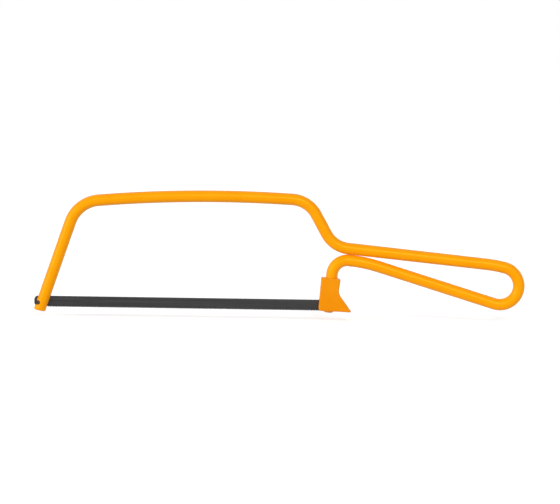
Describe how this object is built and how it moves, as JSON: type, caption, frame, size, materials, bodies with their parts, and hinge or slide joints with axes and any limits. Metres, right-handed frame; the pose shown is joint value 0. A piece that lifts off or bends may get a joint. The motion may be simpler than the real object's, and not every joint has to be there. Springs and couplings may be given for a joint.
{
  "type": "junior hacksaw",
  "caption": "Junior hacksaw: bent round-rod bow frame with a looped handle, a thin pin-end toothed blade and a moulded rear guard.",
  "frame": {"origin": "centre of the base of the bounding box, with the saw standing blade down", "axes": "+X along the blade from the tip to the handle, +Y across the thickness, +Z from the blade up to the spine"},
  "size_m": [0.2502, 0.0128, 0.0629],
  "materials": {
    "frame_enamel": "smooth semi-gloss orange-yellow powder coat",
    "guard_plastic": "fine-textured moulded orange plastic",
    "blade_steel": "dark grey coated tool steel with a fine lengthwise grain",
    "pin_steel": "dark drawn steel"
  },
  "bodies": {
    "frame": {"frame_rod": "frame_enamel", "rear_guard": "guard_plastic"},
    "front_limb": {"front_limb": "frame_enamel"},
    "blade": {"blade": "blade_steel", "front_blade_pin": "pin_steel", "rear_blade_pin": "pin_steel"}
  },
  "joints": [
    {"name": "bow_flex", "type": "hinge", "parent": "frame", "child": "front_limb", "pos_m": [-0.0926, 0, 0.05413], "axis": [0, -1, 0], "range_deg": [0, 4.5], "stiffness_Nm_per_rad": 76},
    {"name": "blade_tilt", "type": "hinge", "parent": "frame", "child": "blade", "pos_m": [0.02704, 0, 0.00459], "axis": [0, -1, 0], "range_deg": [0, 0.92]}
  ],
  "couplings": [
    {"joint": "blade_tilt", "follows": "bow_flex", "ratio": 0.20239}
  ]
}
